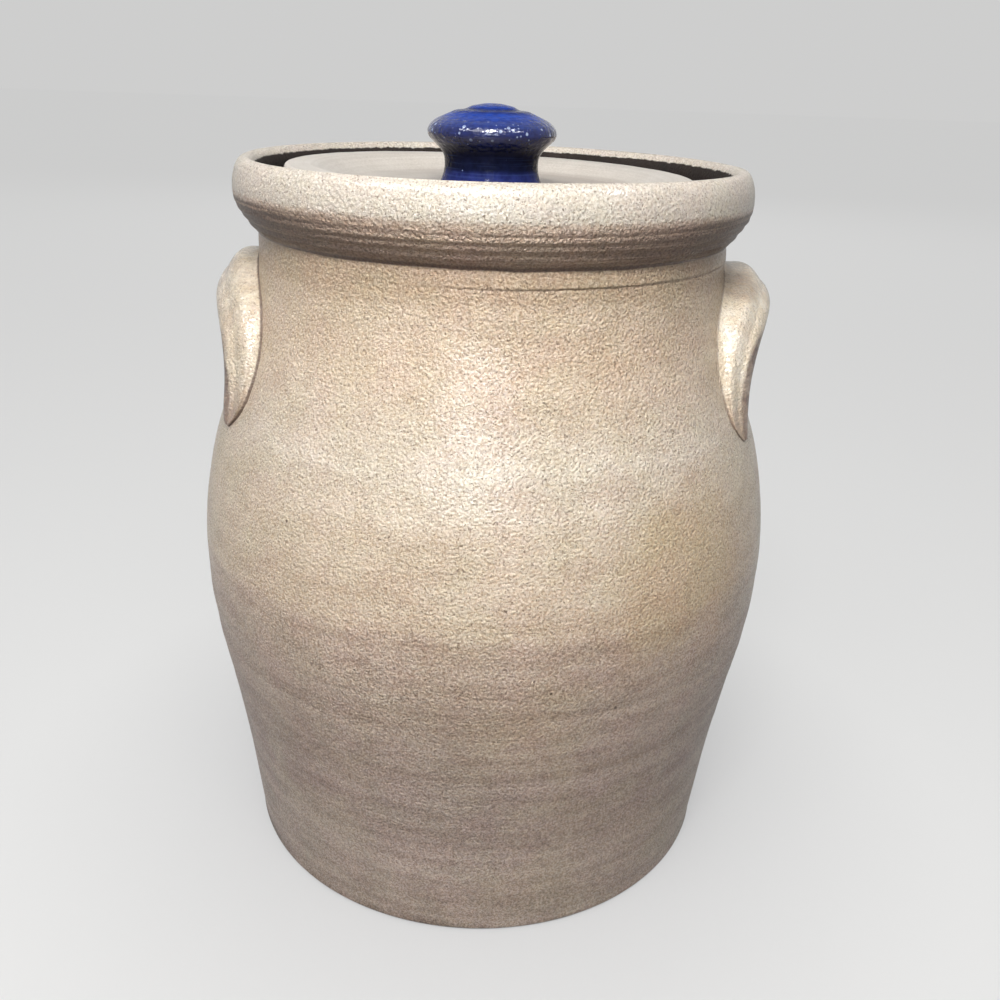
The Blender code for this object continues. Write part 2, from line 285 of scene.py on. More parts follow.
def turned_skin(name, rows, segments, relief):
    """Closed turned skin, and the row of each of its vertices.

    The rows of (radius, height) run from the axis under the piece to the axis over it. The relief
    gives how far a place stands off the profile, and how far it is lifted.
    """
    radii = np.array([row[0] for row in rows])
    heights = np.array([row[1] for row in rows])
    away = np.gradient(heights)
    drop = -np.gradient(radii)
    length = np.hypot(away, drop)
    away = away / length
    drop = drop / length

    points = [(0.0, 0.0, heights[0])]
    point_rows = [0]
    for i in range(1, len(rows) - 1):
        for j in range(segments):
            angle = 2 * math.pi * j / segments
            side_shift, lift = relief(angle, i, radii[i], heights[i])
            radius = radii[i] + away[i] * side_shift
            height = heights[i] + drop[i] * side_shift + lift
            points.append((radius * math.cos(angle), radius * math.sin(angle), height))
            point_rows.append(i)
    points.append((0.0, 0.0, heights[-1]))
    point_rows.append(len(rows) - 1)

    faces = []
    top = len(points) - 1
    last = 1 + (len(rows) - 3) * segments
    for j in range(segments):
        k = (j + 1) % segments
        faces.append((0, 1 + k, 1 + j))
        faces.append((last + j, last + k, top))
    for i in range(len(rows) - 3):
        low = 1 + i * segments
        high = low + segments
        for j in range(segments):
            k = (j + 1) % segments
            faces.append((low + j, low + k, high + k, high + j))
    return new_piece(name, points, faces), point_rows


# Jar

def outside_rows():
    """Rows of the jar's skin from the middle of the base up to the rim's widest height."""
    rows = [(radius, 0.0) for radius in BASE_ROW_RADII]
    rows.append((BASE_RADIUS - BASE_EDGE_ROUND, 0.0))
    edge_top = (wall_radius(BASE_EDGE_ROUND), BASE_EDGE_ROUND)
    rows += quarter_arc(rows[-1], edge_top, (BASE_RADIUS, 0.0), steps=5)
    heights = spread(BASE_EDGE_ROUND, FINE_ROWS_START, WALL_ROW)
    heights += spread(FINE_ROWS_START, CREASE_HEIGHT - WALL_ROWS_END_UNDER_CREASE, FINE_ROW)
    rows += [(wall_radius(height), height) for height in heights]
    slope_start = CREASE_HEIGHT - SLOPE_ROWS_START_UNDER_CREASE
    for height in spread(slope_start, RIM_WIDEST_HEIGHT, FINE_ROW):
        rows.append((slope_radius(height), height))
    return rows


def seat_rows():
    """Rows from the rim's crest down its inner side and over the seat to the mouth's lower edge."""
    crest = (CREST_RADIUS, CREST_HEIGHT)
    gallery = (GALLERY_RADIUS, GALLERY_HEIGHT)
    seat_outer = (SEAT_OUTER_RADIUS, SEAT_HEIGHT)
    flange_top = (MOUTH_RADIUS, SEAT_HEIGHT - SEAT_FLANGE_ROUND)
    rows = quarter_arc(crest, gallery, (GALLERY_RADIUS, CREST_HEIGHT), steps=14)
    rows += quarter_arc(gallery, seat_outer, (GALLERY_RADIUS, SEAT_HEIGHT), steps=8)
    rows.append((MOUTH_RADIUS + SEAT_FLANGE_ROUND, SEAT_HEIGHT))
    rows += quarter_arc(rows[-1], flange_top, (MOUTH_RADIUS, SEAT_HEIGHT), steps=4)
    rows.append((MOUTH_RADIUS, SEAT_HEIGHT - SEAT_FLANGE_THICKNESS))
    return rows


def inside_rows():
    """Rows from under the seat down the inner wall to the middle of the floor."""
    under_seat = SEAT_HEIGHT - UNDER_SEAT_DROP
    heights = [under_seat] + spread(under_seat, FLOOR + FLOOR_CORNER, INSIDE_ROW)
    rows = [(wall_radius(height) - WALL, height) for height in heights]
    corner = (wall_radius(FLOOR) - WALL, FLOOR)
    rows += quarter_arc(rows[-1], (corner[0] - FLOOR_CORNER, FLOOR), corner, steps=8)
    rows += [(radius, FLOOR) for radius in FLOOR_ROW_RADII]
    return rows


# Soft rings left by the potter's fingers: height, how far they stand out, half width
THROWING_RINGS = (
    (0.1320, 0.00018, 0.0035),
    (0.1215, -0.00014, 0.0030),
    (0.1120, 0.00022, 0.0036),
    (0.1030, -0.00022, 0.0030),
    (0.0950, 0.00016, 0.0034),
    (0.0790, -0.00014, 0.0050),
    (0.0600, 0.00012, 0.0060),
    (0.0390, -0.00012, 0.0060),
    (0.1560, -0.00012, 0.0050),
    (0.1740, 0.00012, 0.0045),
    (0.1930, -0.00010, 0.0050),
    (0.2080, 0.00012, 0.0040),
    (0.2230, -0.00014, 0.0045),
)

# Fine lines that the rib left under the rim: height, depth, half width
RIM_LINES = (
    (0.2479, -0.00020, 0.00045),
    (0.2494, 0.00016, 0.00045),
    (0.2509, -0.00024, 0.00045),
    (0.2524, 0.00020, 0.00040),
    (0.2538, -0.00022, 0.00045),
    (0.2552, 0.00018, 0.00040),
    (0.2566, -0.00020, 0.00050),
    (0.2580, 0.00008, 0.00060),
)

# Unevenness of the jar's skin; the pairs are the heights between which it sets in
SKIN_INSET = 0.00025
OVAL_DEPTH = 0.00022
OVAL_HEIGHTS = (0.02, 0.2)
RIM_WAVE = 0.00025
RIM_WAVE_HEIGHTS = (0.235, 0.265)
RING_WANDER = 0.0016
LINE_WANDER = 0.0005
TURNING_DEPTH = 0.00005
FINE_TURNING_DEPTH = 0.00002
TURNING_HEIGHTS = (0.004, 0.02)
LUMP_DEPTH = 0.00006
REACH_IN_WIDTHS = 3


def ring_relief(c, s, level):
    """Throwing rings, each fading in and out round the jar."""
    out = 0.0
    for middle, depth, width in THROWING_RINGS:
        if abs(level - middle) < REACH_IN_WIDTHS * width:
            share = 0.65 + 0.7 * turned_noise(c, s, 1.3, 3.1, middle * 90)
            out += depth * max(0.1, share) * bell(level, middle, width)
    return out


def line_relief(c, s, level):
    """Rib lines under the rim, each fading in and out round the jar."""
    out = 0.0
    for middle, depth, width in RIM_LINES:
        if abs(level - middle) < REACH_IN_WIDTHS * width:
            share = 0.75 + 0.7 * turned_noise(c, s, 2.2, middle * 3000)
            out += depth * max(0.0, share) * bell(level, middle, width)
    return out


def step_relief(c, s, level):
    """Step on the neck with the groove under it, plainest at the right of the front."""
    strength = 0.10 + 0.90 * ramp(c * 0.8 - s * 0.6, 0.2, 0.85)
    proud = ramp(level, NECK_STEP_HEIGHT, NECK_STEP_HEIGHT + NECK_STEP_RISE)
    proud *= 1 - ramp(level, NECK_STEP_HEIGHT + NECK_STEP_FLAT, CREASE_HEIGHT)
    groove = 0.7 * bell(level, NECK_GROOVE_HEIGHT, NECK_GROOVE_WIDTH)
    return NECK_STEP_DEPTH * strength * (proud - groove)


def clay_relief(c, s, height):
    """Fine turning marks and slight lumps of the clay."""
    turning = TURNING_DEPTH * turned_noise(c, s, 0.8, height * 420)
    turning += FINE_TURNING_DEPTH * turned_noise(c, s, 2.0, height * 900)
    lumps = LUMP_DEPTH * turned_noise(c, s, 7, height * 75)
    return turning * ramp(height, *TURNING_HEIGHTS) + lumps


def jar_relief(inner_start):
    """How far the jar's skin stands off its profile at each place."""

    def relief(angle, row, radius, height):
        c = math.cos(angle)
        s = math.sin(angle)
        wave = OVAL_DEPTH * math.cos(2 * angle + 0.7) * ramp(height, *OVAL_HEIGHTS)
        lift = RIM_WAVE * math.cos(2 * angle + 2.0) * ramp(height, *RIM_WAVE_HEIGHTS)
        if row >= inner_start:
            return (-wave if height < GALLERY_HEIGHT else 0.0), lift
        if height < BASE_EDGE_ROUND * 1.5:
            return 0.0, 0.0
        drift = turned_noise(c, s, 0.9, height * 9)
        out = clay_relief(c, s, height) - SKIN_INSET
        if height > FINE_ROWS_START:
            level = height + drift * LINE_WANDER
            out += step_relief(c, s, level) + line_relief(c, s, level)
        out += ring_relief(c, s, height + drift * RING_WANDER)
        return out + wave, lift

    return relief


def make_jar():
    widest = (RIM_RADIUS, RIM_WIDEST_HEIGHT)
    crest = (CREST_RADIUS, CREST_HEIGHT)
    rows = outside_rows() + quarter_arc(widest, crest, (RIM_RADIUS, CREST_HEIGHT), steps=14)
    inner_start = len(rows)
    rows += seat_rows() + inside_rows()
    jar, point_rows = turned_skin("jar_skin", rows, JAR_SEGMENTS, jar_relief(inner_start))
    along = [0.0]
    for start, end in zip(rows, rows[1:]):
        along.append(along[-1] + math.dist(start, end))
    inward = [(place - along[inner_start - 1]) * MM_PER_METRE for place in along]
    mark_points(jar, "inward_mm", [inward[row] for row in point_rows])
    return jar


# Lid and knob

def lid_rows():
    """Rows of the lid's skin, from the locating plate under it to the middle of its dish."""
    plate = LID_DISH_HEIGHT - LID_PLATE
    rows = [(radius, plate) for radius in LID_PLATE_ROW_RADII]
    rows.append((LID_RING_RADIUS - LID_EDGE_ROUND, plate))
    ring_edge = (LID_RING_RADIUS, plate + LID_EDGE_ROUND)
    rows += quarter_arc(rows[-1], ring_edge, (LID_RING_RADIUS, plate), steps=5)
    rows.append((LID_RING_RADIUS, LID_UNDER_HEIGHT))
    rows.append((LID_RADIUS - LID_EDGE_ROUND, LID_UNDER_HEIGHT))
    under_edge = (LID_RADIUS, LID_UNDER_HEIGHT + LID_EDGE_ROUND)
    rows += quarter_arc(rows[-1], under_edge, (LID_RADIUS, LID_UNDER_HEIGHT), steps=6)
    for height in spread(rows[-1][1], LID_TOP_HEIGHT - LID_EDGE_ROUND, LID_EDGE_ROW):
        rows.append((LID_RADIUS, height))
    top_edge = (LID_RADIUS - LID_EDGE_ROUND, LID_TOP_HEIGHT)
    rows += quarter_arc(rows[-1], top_edge, (LID_RADIUS, LID_TOP_HEIGHT), steps=7)
    dish_start = LID_RADIUS - LID_MARGIN
    for radius in spread(rows[-1][0], dish_start, LID_MARGIN_ROW):
        rows.append((radius, LID_TOP_HEIGHT))
    for share in spread(0.0, 1.0, LID_DISH_ROW_SHARE):
        drop = LID_DISH_DEPTH * (1 - math.cos(math.pi * share)) / 2
        rows.append((dish_start - LID_DISH_RUN * share, LID_TOP_HEIGHT - drop))
    for radius in spread(rows[-1][0], LID_LAST_ROW_RADIUS, LID_FLAT_ROW):
        rows.append((radius, LID_DISH_HEIGHT))
    rows.append((0.0, LID_DISH_HEIGHT))
    return rows


# Unevenness of the lid and the knob, which sets in this far over the seat on the lid
LID_RING_DEPTH = 0.00005
LID_LUMP_DEPTH = 0.00008
LID_UNEVEN_START = 0.0015
KNOB_LINE_DEPTH = 0.00006
KNOB_FINE_LINE_DEPTH = 0.00003
KNOB_LUMP_DEPTH = 0.00012


def lid_relief(angle, row, radius, height):
    """Faint turned rings and lumps, with the tilt as lift."""
    c = math.cos(angle)
    s = math.sin(angle)
    top = ramp(height, SEAT_HEIGHT + LID_TILT_START, SEAT_HEIGHT + LID_TILT_FULL)
    lift = top * radius / LID_RADIUS * (LID_TILT_BACK * s - LID_TILT_LEFT * c)
    out = 0.0
    if height > SEAT_HEIGHT + LID_UNEVEN_START:
        ring = turned_noise(c, s, 0.6, radius * 620)
        lump = turned_noise(c * radius, s * radius, 110, 1.7)
        out = LID_RING_DEPTH * ring + LID_LUMP_DEPTH * lump
    return out, lift


def knob_relief(angle, row, radius, height):
    """Turned lines and slight lumps."""
    c = math.cos(angle)
    s = math.sin(angle)
    out = KNOB_LINE_DEPTH * turned_noise(c, s, 0.7, height * 1500)
    out += KNOB_FINE_LINE_DEPTH * turned_noise(c, s, 1.6, height * 3100)
    out += KNOB_LUMP_DEPTH * turned_noise(c, s, 2.6, height * 130)
    return out, 0.0


def knob_points():
    """Profile points of the knob: flared foot, swelling overhang, crown and button."""
    spans = (
        (KNOB_FLARE_SHARES, KNOB_WAIST_RADIUS, KNOB_FOOT_RADIUS),
        (KNOB_SWELL_SHARES, KNOB_WAIST_RADIUS, KNOB_RADIUS),
        (KNOB_CROWN_SHARES, 0.0, KNOB_RADIUS),
        (KNOB_BUTTON_SHARES, 0.0, KNOB_BUTTON_RADIUS),
    )
    points = []
    for shares, inner, outer in spans:
        for height, share in shares:
            points.append((inner + (outer - inner) * share, LID_DISH_HEIGHT + KNOB_HEIGHT * height))
    return points


def make_lid():
    lid = turned_skin("lid_skin", lid_rows(), LID_SEGMENTS, lid_relief)[0]
    lid.data.transform(Matrix.Translation((LID_SHIFT, 0.0, 0.0)))
    return lid


def make_knob():
    curve = smooth_path(knob_points(), KNOB_ROW)
    foot_radius, foot_height = curve[0]
    rows = [(foot_radius * share, foot_height) for share in KNOB_FOOT_ROW_SHARES]
    rows += curve + [(0.0, curve[-1][1])]
    knob = turned_skin("knob_skin", rows, KNOB_SEGMENTS, knob_relief)[0]
    knob.data.transform(Matrix.Translation((LID_SHIFT, 0.0, 0.0)))
    return knob


# Handles

# One ear: its side, how far it reaches out, how far its lip droops, how full its outline is, how
# long the ridge at its tips is, with the painted shade past it, and where its waves start
Ear = namedtuple("Ear", "side reach droop fullness ridge_share wander")
LEFT_EAR = Ear(side=-1.0, reach=0.0150, droop=0.0068, fullness=0.75, ridge_share=0.17, wander=3.0)
RIGHT_EAR = Ear(side=1.0, reach=0.0178, droop=0.0048, fullness=1.0, ridge_share=0.30, wander=9.0)


def shaded_bare_edge(share, out_share, half_share, across_z, ridge_share):
    """How strong an edge's painted shade is, on an edge that is also bare: under the lower half of the lip,
    and past the ridge near the tips.
    """
    under = ramp(0.8 - half_share, 0.0, 0.9) * ramp(out_share, 0.7, 0.95)
    under *= 1 - ramp(across_z, 0.35, 0.75)
    start = 0.35 + 0.62 * math.sqrt(min(share, 1 - share) / ridge_share)
    return max(under, ramp(out_share, start, start + 0.07))


def handle_section(share, ear):
    """Closed section of the right handle at a share of the way from its front tip to its back tip.

    Each point has its place, its distance from the wall in millimetres and how strong its edge's painted
    shade is.
    """
    angle = HANDLE_TIP_ANGLE + (math.pi - 2 * HANDLE_TIP_ANGLE) * share
    across_y = -math.cos(angle)
    across_z = math.sin(angle)
    foot_y = HANDLE_HALF_WIDTH * across_y
    foot_z = HANDLE_ARCH_HEIGHT + HANDLE_RISE * across_z

    fullness = math.sin(math.pi * share) ** ear.fullness
    reach = HANDLE_TIP_REACH + (ear.reach - HANDLE_TIP_REACH) * fullness
    droop = ear.droop * max(0.0, across_z) * reach / ear.reach
    tip_share = min(1.0, min(share, 1 - share) / HANDLE_TIP_LENGTH_SHARE)
    thinning = HANDLE_TIP_THICKNESS / HANDLE_ROOT_THICKNESS
    thinning += (1 - thinning) * math.sin(math.pi / 2 * tip_share)
    root = HANDLE_ROOT_THICKNESS * thinning / 2
    lip = HANDLE_LIP_THICKNESS * thinning / 2
    lip_start = max(0.0, 1 - lip / reach)

    def point(out_share, half_share):
        out = max(0.0, out_share)
        upper = max(0.0, half_share)
        edge = shaded_bare_edge(share, out_share, half_share, across_z, ear.ridge_share)
        along = min(1.0, out / lip_start)
        half = root + (lip - root) * along
        crown = HANDLE_CROWN * thinning * math.sin(math.pi * along**2.0) * upper
        crown -= HANDLE_EDGE_CUT * thinning * edge * upper
        smear = HANDLE_SMEAR * math.exp(-out * reach / HANDLE_SMEAR_RUN)
        wave_place = Vector((share * 14 + ear.wander, out_share * 2.5, half_share * 0.6))
        wave = HANDLE_WAVE * noise.noise(wave_place)
        shift = half_share * (half + smear) + crown + wave - droop * out**3
        y = foot_y + across_y * shift
        z = foot_z + across_z * shift
        x = math.sqrt(wall_radius(z) ** 2 - y**2) + reach * out_share
        return x, y, z, out_share * reach * MM_PER_METRE, edge

    outs = [-HANDLE_SINK / reach]
    outs += [lip_start * i / HANDLE_FACE_POINTS for i in range(HANDLE_FACE_POINTS + 1)]
    section = [point(out, 1.0) for out in outs]
    for i in range(1, HANDLE_LIP_POINTS):
        swing = math.pi * i / HANDLE_LIP_POINTS
        section.append(point(lip_start + (1 - lip_start) * math.sin(swing), math.cos(swing)))
    section += [point(out, -1.0) for out in reversed(outs)]
    return section


def make_handle(name, ear):
    sections = [handle_section(i / HANDLE_STATIONS, ear) for i in range(HANDLE_STATIONS + 1)]
    spots = [spot for section in sections for spot in section]
    points = [(ear.side * x, y, z) for x, y, z, *_ in spots]
    count = len(sections[0])
    faces = []
    for station in range(HANDLE_STATIONS):
        low = station * count
        high = low + count
        for i in range(count):
            j = (i + 1) % count
            faces.append((low + i, low + j, high + j, high + i))
    faces.append(tuple(reversed(range(count))))
    faces.append(tuple(range(len(points) - count, len(points))))
    if ear.side < 0:
        faces = [face[::-1] for face in faces]
    handle = new_piece(name, points, faces)
    mark_points(handle, "from_wall_mm", [spot[3] for spot in spots])
    mark_points(handle, "shaded_bare_lower_edge", [spot[4] for spot in spots])
    return handle


# Materials

BLACK = (0.0, 0.0, 0.0)
WHITE = (1.0, 1.0, 1.0)

# Share of a spot's radius inside which it has its full strength
SPOT_CORE_SHARE = 0.65


class Nodes:
    """Short calls for building a node tree."""

    def __init__(self, tree, coordinates):
        self.tree = tree
        self.place = self.add("ShaderNodeTexCoord").outputs[coordinates]

    def add(self, kind, **settings):
        node = self.tree.nodes.new(kind)
        for key, value in settings.items():
            setattr(node, key, value)
        return node

    def put(self, socket, value):
        if isinstance(value, bpy.types.NodeSocket):
            self.tree.links.new(value, socket)
        elif isinstance(value, tuple) and len(value) == 3 and socket.type == "RGBA":
            socket.default_value = (*value, 1.0)
        else:
            socket.default_value = value

    def math(self, kind, a, b=0.0):
        node = self.add("ShaderNodeMath", operation=kind)
        self.put(node.inputs[0], a)
        self.put(node.inputs[1], b)
        return node.outputs[0]

    def total(self, *parts):
        """Sum of values, each times its weight."""
        weighted = [self.math("MULTIPLY", value, weight) for value, weight in parts]
        result = weighted[0]
        for part in weighted[1:]:
            result = self.math("ADD", result, part)
        return result

    def remap(self, value, low, high, to_low=0.0, to_high=1.0):
        node = self.add("ShaderNodeMapRange")
        for socket, number in zip(node.inputs, (value, low, high, to_low, to_high)):
            self.put(socket, number)
        return node.outputs[0]

    def axis(self, number):
        split = self.add("ShaderNodeSeparateXYZ")
        self.put(split.inputs[0], self.place)
        return split.outputs[number]

    def stretch(self, scale):
        node = self.add("ShaderNodeVectorMath", operation="MULTIPLY")
        self.put(node.inputs[0], self.place)
        node.inputs[1].default_value = scale
        return node.outputs[0]

    def noise(self, scale, detail=2.0, roughness=0.5, place=None):
        node = self.add("ShaderNodeTexNoise")
        self.put(node.inputs["Vector"], place or self.place)
        node.inputs["Scale"].default_value = scale
        node.inputs["Detail"].default_value = detail
        node.inputs["Roughness"].default_value = roughness
        return node.outputs["Fac"]

    def swing(self, size, scale, detail=2.0, roughness=0.5):
        """Noise that swings about zero."""
        off_middle = self.math("SUBTRACT", self.noise(scale, detail, roughness), 0.5)
        return self.math("MULTIPLY", off_middle, size)

    def domes(self, scale, smoothness):
        """Distance from the middles of soft cells."""
        node = self.add("ShaderNodeTexVoronoi", feature="SMOOTH_F1")
        self.put(node.inputs["Vector"], self.place)
        node.inputs["Scale"].default_value = scale
        node.inputs["Smoothness"].default_value = smoothness
        return node.outputs["Distance"]

    def spots(self, scale, radius, chance, strength):
        """Round spots of up to a radius in metres, in a share of the cells of a pattern."""
        node = self.add("ShaderNodeTexVoronoi")
        self.put(node.inputs["Vector"], self.place)
        node.inputs["Scale"].default_value = scale
        split = self.add("ShaderNodeSeparateColor")
        self.put(split.inputs[0], node.outputs["Color"])
        size = self.math("MULTIPLY", split.outputs["Green"], radius * scale)
        disc = self.remap(self.math("DIVIDE", node.outputs["Distance"], size), 1.0, SPOT_CORE_SHARE)
        pick = self.math("LESS_THAN", split.outputs["Red"], chance)
        return self.math("MULTIPLY", self.math("MULTIPLY", disc, pick), strength)

    def patch(self, place, radius, share):
        """Soft patch round a place on the jar."""
        node = self.add("ShaderNodeVectorMath", operation="DISTANCE")
        self.put(node.inputs[0], self.place)
        node.inputs[1].default_value = place
        off = self.math("DIVIDE", node.outputs["Value"], radius)
        ragged = self.swing(1.1, 1.1 / radius, 3.0, 0.6)
        return self.remap(self.math("ADD", off, ragged), 0.55, 1.0, share, 0.0)

    def blend(self, share, a, b, kind="MIX"):
        node = self.add("ShaderNodeMix", data_type="RGBA", blend_type=kind)
        self.put(node.inputs[0], share)
        self.put(node.inputs[6], a)
        self.put(node.inputs[7], b)
        return node.outputs[2]

    def shade(self, share, colour, light):
        """Darkens a colour where the light is 0 and brightens it where it is 1."""
        return self.blend(share, colour, self.blend(light, BLACK, WHITE), "SOFT_LIGHT")

    def ramp(self, value, stops):
        node = self.add("ShaderNodeValToRGB")
        band = node.color_ramp
        band.interpolation = "EASE"
        while len(band.elements) < len(stops):
            band.elements.new(0.5)
        for element, (place, colour) in zip(band.elements, stops):
            element.position = place
            element.color = (*colour, 1.0)
        self.put(node.inputs[0], value)
        return node.outputs[0]

    def seen(self):
        """1 for rays of the camera, of reflections and through glass, 0 for those that carry light."""
        path = self.add("ShaderNodeLightPath").outputs
        seen = self.math("MAXIMUM", path["Is Camera Ray"], path["Is Glossy Ray"])
        return self.math("MAXIMUM", seen, path["Is Transmission Ray"])


class Surface(Nodes):
    """A new material, built around its Principled shader."""

    def __init__(self, name):
        self.material = bpy.data.materials.new(name)
        self.material.use_nodes = True
        super().__init__(self.material.node_tree, "Object")
        self.shader = self.tree.nodes["Principled BSDF"]

    def set(self, name, value):
        self.put(self.shader.inputs[name], value)

    def attribute(self, name):
        return self.add("ShaderNodeAttribute", attribute_name=name).outputs["Fac"]

    def bump(self, height, distance):
        """Normal of a relief that is as deep as the distance in metres."""
        node = self.add("ShaderNodeBump")
        node.inputs["Strength"].default_value = 1.0
        node.inputs["Distance"].default_value = distance
        self.put(node.inputs["Height"], height)
        return node.outputs["Normal"]


# Colours up the jar as shares of the height: painted shade along the contact line with the floor, base,
# lower wall, belly, shoulder, neck
BODY_BANDS_HEIGHT = 0.25
BODY_BANDS = (
    (0.00, (0.22, 0.17, 0.14)),
    (0.02, (0.44, 0.365, 0.315)),
    (0.23, (0.41, 0.335, 0.295)),
    (0.38, (0.43, 0.345, 0.295)),
    (0.46, (0.455, 0.365, 0.305)),
    (0.525, (0.50, 0.40, 0.325)),
    (0.550, (0.585, 0.48, 0.375)),
    (0.64, (0.61, 0.515, 0.410)),
    (0.74, (0.615, 0.540, 0.455)),
    (0.88, (0.60, 0.49, 0.385)),
    (1.00, (0.50, 0.392, 0.284)),
)

# Colours of the neck and the rim between the two heights: neck, painted shadow in the crease under the rim,
# brown slope, bright roll
RIM_BAND_START = 0.2340
RIM_BAND_END = 0.2740
RIM_BANDS = (
    (0.000, (0.50, 0.392, 0.284)),
    (0.200, (0.50, 0.392, 0.284)),
    (0.292, (0.48, 0.37, 0.27)),
    # Painted shadow in the crease under the rim's slope
    (0.304, (0.10, 0.06, 0.045)),
    (0.320, (0.11, 0.07, 0.05)),
    (0.345, (0.36, 0.270, 0.22)),
    (0.590, (0.45, 0.345, 0.28)),
    (0.645, (0.50, 0.41, 0.34)),
    (0.690, (0.58, 0.530, 0.47)),
    (1.000, (0.61, 0.560, 0.505)),
)

# Where the dark slip glaze starts, along the profile from the crest inwards, and its soft edge
SLIP_START_MM = 4.4
SLIP_EDGE_MM = 0.25

# Marks of the photographed jar: middle, radius, strength, colour
JAR_PATCHES = (
    ((0.0680, -0.0880, 0.1480), 0.034, 0.50, (0.54, 0.40, 0.25)),
    ((-0.0648, -0.0856, 0.1632), 0.0007, 0.85, (0.07, 0.04, 0.025)),
    ((0.0074, -0.1106, 0.1456), 0.0007, 0.85, (0.06, 0.035, 0.02)),
    ((0.0231, -0.1094, 0.1151), 0.0007, 0.85, (0.06, 0.035, 0.02)),
    ((0.0459, -0.1011, 0.1046), 0.0008, 0.80, (0.06, 0.035, 0.02)),
    ((0.0184, -0.0985, 0.1854), 0.0006, 0.80, (0.08, 0.05, 0.03)),
    ((-0.0500, -0.0986, 0.1477), 0.0007, 0.80, (0.08, 0.05, 0.03)),
)

# Painted shadow over the top of the handles' joints: middle, radius, strength, colour
LEFT_JOINT_SHADOWS = (((-0.0880, -0.012, 0.2290), 0.009, 0.45, (0.40, 0.33, 0.20)),)
RIGHT_JOINT_SHADOWS = (((0.0870, -0.020, 0.2320), 0.0110, 0.55, (0.20, 0.135, 0.085)),)

# Colours up the knob, as shares of its height: foot, waist and overhang nearly black from deep cobalt and
# painted shade under the overhang, widest part, groove darkened by painted shade, button
KNOB_BANDS = (
    (0.00, (0.018, 0.026, 0.130)),
    (0.15, (0.014, 0.020, 0.100)),
    (0.24, (0.004, 0.006, 0.022)),
    (0.48, (0.003, 0.004, 0.016)),
    (0.58, (0.006, 0.009, 0.050)),
    (0.68, (0.006, 0.012, 0.085)),
    (0.78, (0.007, 0.022, 0.150)),
    (0.87, (0.008, 0.038, 0.265)),
    (0.925, (0.004, 0.011, 0.085)),
    (0.955, (0.007, 0.032, 0.225)),
)


def glaze_colour(nodes, colour, pits):
    """Two drifting tints, pits and iron specks over a colour."""
    tint = nodes.remap(nodes.noise(520.0, 2.0, 0.6), 0.40, 0.62)
    tint = nodes.blend(tint, (0.42, 0.42, 0.42), (0.66, 0.55, 0.40))
    colour = nodes.blend(0.18, colour, tint, "OVERLAY")
    hue = nodes.remap(nodes.noise(60.0, 3.0, 0.6), 0.38, 0.62)
    hue = nodes.blend(hue, (0.62, 0.46, 0.42), (0.50, 0.50, 0.36))
    colour = nodes.blend(0.16, colour, hue, "OVERLAY")
    colour = nodes.blend(pits, colour, (0.14, 0.085, 0.05))
    colour = nodes.blend(nodes.spots(330.0, 0.00042, 0.22, 0.62), colour, (0.10, 0.06, 0.035))
    return nodes.blend(nodes.spots(36.0, 0.0009, 0.10, 0.9), colour, (0.05, 0.028, 0.016))


def glaze_surface(
    nodes, colour, coat, coat_roughness, grain_share, pit_share, relief_depth, ripple_depth, evenness=1.0
):
    """Speckled colour and orange peel, under a clear coat that only ripples; gives the colour."""
    grain = nodes.noise(1200.0, 2.0, 0.6)
    fine = nodes.noise(2300.0, 1.0, 0.5)
    light = nodes.remap(nodes.total((grain, 0.65), (fine, 0.35)), 0.38, 0.62)
    pits = nodes.remap(nodes.noise(1700.0, 0.0, 0.5), 0.68, 0.76, 0.0, pit_share)
    peel = nodes.domes(900.0, 0.30)
    relief = nodes.total((peel, -0.55), (grain, 0.7), (fine, 0.35), (pits, -0.5))
    relief = nodes.math("MULTIPLY", relief, evenness)
    nodes.set("Normal", nodes.bump(relief, relief_depth))
    ripple = nodes.total((nodes.noise(420.0, 1.0, 0.5), 0.8), (peel, -0.55))
    nodes.set("Coat Normal", nodes.bump(ripple, ripple_depth))
    nodes.set("Coat Weight", coat)
    nodes.set("Coat Roughness", coat_roughness)
    nodes.set("Specular IOR Level", 0.28)
    return glaze_colour(nodes, nodes.shade(grain_share, colour, light), pits)


def wall_colour(nodes, level):
    """Bands of colour up the wall, throwing rings, blotches and the photographed jar's marks."""
    colour = nodes.ramp(nodes.remap(level, 0.0, BODY_BANDS_HEIGHT), BODY_BANDS)
    rings = nodes.noise(1.0, 3.0, 0.6, nodes.stretch((7.0, 7.0, 170.0)))
    ring_share = nodes.remap(level, 0.13, 0.15, 0.26, 0.10)
    colour = nodes.shade(ring_share, colour, nodes.remap(rings, 0.35, 0.65))
    blotch = nodes.remap(nodes.noise(15.0, 3.0, 0.6), 0.52, 0.72, 0.0, 0.30)
    colour = nodes.blend(blotch, colour, (0.50, 0.39, 0.25))
    cloud = nodes.noise(70.0, 3.0, 0.6, nodes.stretch((1.0, 1.0, 1.8)))
    colour = nodes.shade(0.16, colour, nodes.remap(cloud, 0.35, 0.65))
    for place, radius, share, tone in JAR_PATCHES:
        colour = nodes.blend(nodes.patch(place, radius, share), colour, tone)
    return colour


